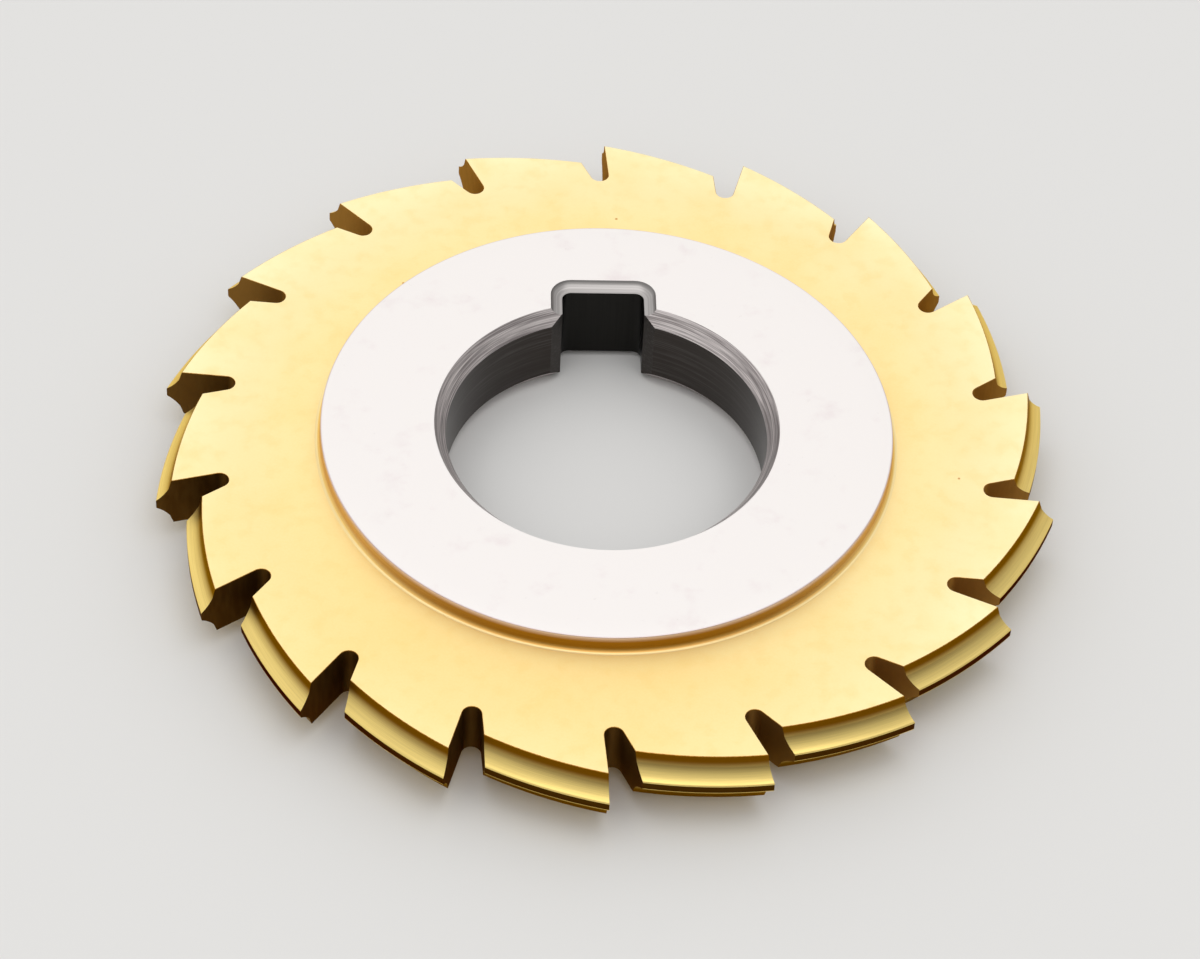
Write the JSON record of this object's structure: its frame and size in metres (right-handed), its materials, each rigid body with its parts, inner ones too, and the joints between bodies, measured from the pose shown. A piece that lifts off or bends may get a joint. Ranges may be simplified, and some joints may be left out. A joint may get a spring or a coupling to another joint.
{
  "type": "spline milling cutter",
  "caption": "Gold-coated disc milling cutter with form-relieved teeth that cut the gaps of an involute spline shaft, raised ground hubs, a chamfered arbor bore and a keyway.",
  "frame": {"origin": "on the bore axis, in the plane of the lower hub face", "axes": "+Z along the bore, up from the lower hub face; +Y from the bore axis towards the keyway; the cutting faces look counter-clockwise seen from +Z"},
  "size_m": [0.075, 0.076, 0.0082],
  "materials": {
    "coated_steel": "satin titanium-nitride gold over tool steel; the hub faces are ground bare steel, the bore and keyway bare steel"
  },
  "bodies": {
    "root": {"cutter": "coated_steel"}
  },
  "joints": []
}
